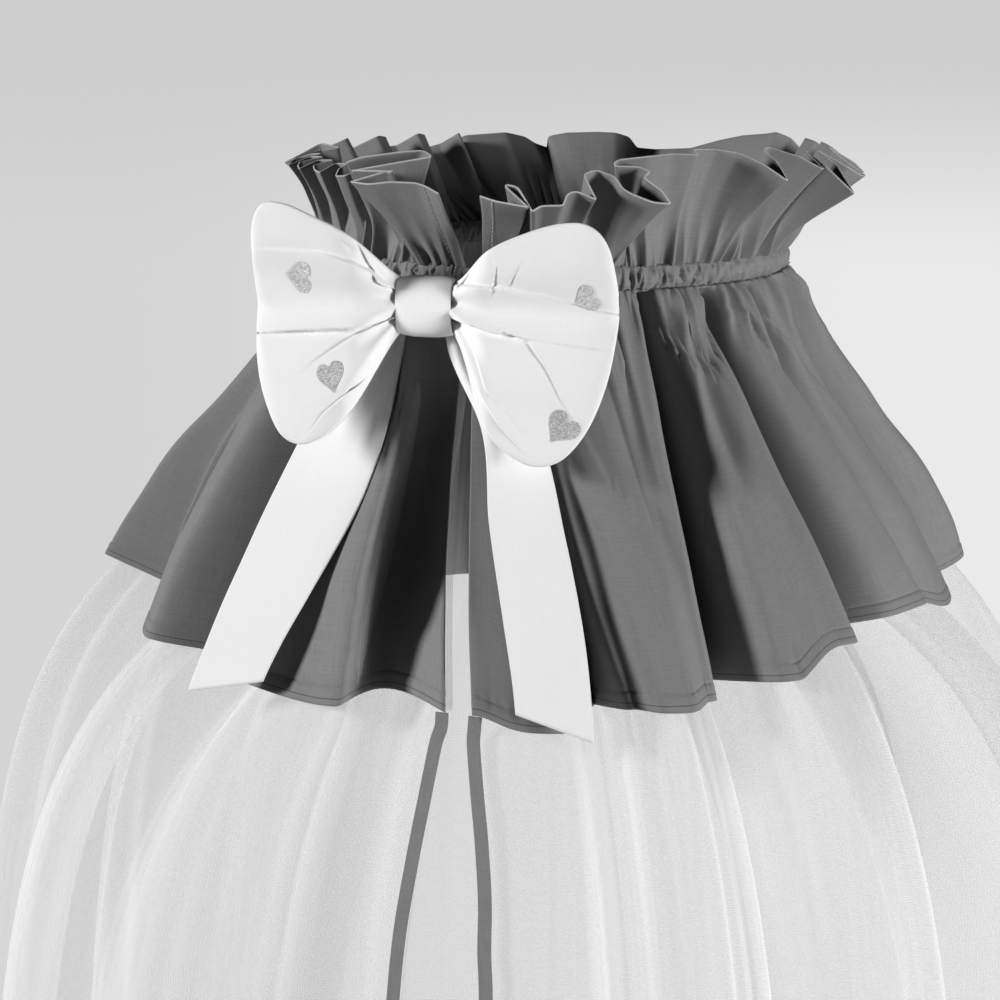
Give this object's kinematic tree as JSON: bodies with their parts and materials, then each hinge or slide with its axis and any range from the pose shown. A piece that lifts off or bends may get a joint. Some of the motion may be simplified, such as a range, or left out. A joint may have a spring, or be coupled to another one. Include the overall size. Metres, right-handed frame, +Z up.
{
  "type": "bed crown canopy",
  "caption": "Gathered cotton valance with frill and padded bow on a wire ring, with a long net drape, tie tapes and a pole socket",
  "frame": {"origin": "centre of the flat lower end of the pole socket's spigot", "axes": "+Z up; -Y towards the front slit and the bow; +X to the right seen from the front"},
  "size_m": [1.032, 0.8087, 1.4746],
  "materials": {
    "grey_cotton": "dark grey plain-weave cotton, matt",
    "white_cotton": "white plain-weave cotton, padded in the bow",
    "white_net": "fine soft white net, see-through",
    "coated_wire": "white coated steel wire",
    "socket_plastic": "white moulded plastic"
  },
  "bodies": {
    "holder": {"pole_socket": "socket_plastic"},
    "crown": {"support_ring": "coated_wire", "gathered_casing": "grey_cotton", "frill": "grey_cotton", "valance_skirt": "grey_cotton", "tulle_drape": "white_net", "bow_knot": "white_cotton", "bow_wing_left": "white_cotton", "bow_wing_right": "white_cotton"},
    "tail_left": {"bow_tail_left": "white_cotton"},
    "tail_right": {"bow_tail_right": "white_cotton"},
    "tape_left": {"tie_left": "grey_cotton"},
    "tape_right": {"tie_right": "grey_cotton"}
  },
  "joints": [
    {"name": "ring_lift", "type": "slide", "parent": "holder", "child": "crown", "axis": [0, 0, 1], "range_m": [0, 0.04]},
    {"name": "tail_left_swing", "type": "hinge", "parent": "crown", "child": "tail_left", "pos_m": [-0.0297, -0.3262, 0.0172], "axis": [-0.9976, -0.0698, 0], "range_deg": [0, 8]},
    {"name": "tail_right_swing", "type": "hinge", "parent": "crown", "child": "tail_right", "pos_m": [0.0133, -0.3283, 0.0172], "axis": [-0.9903, -0.1392, 0], "range_deg": [0, 8]},
    {"name": "tape_left_swing", "type": "hinge", "parent": "crown", "child": "tape_left", "pos_m": [0.0331, -0.4255, -0.2142], "axis": [-0.9934, -0.1149, 0], "range_deg": [0, 60]},
    {"name": "tape_right_swing", "type": "hinge", "parent": "crown", "child": "tape_right", "pos_m": [0.0567, -0.4258, -0.2145], "axis": [-0.981, -0.1942, 0], "range_deg": [0, 60]}
  ]
}
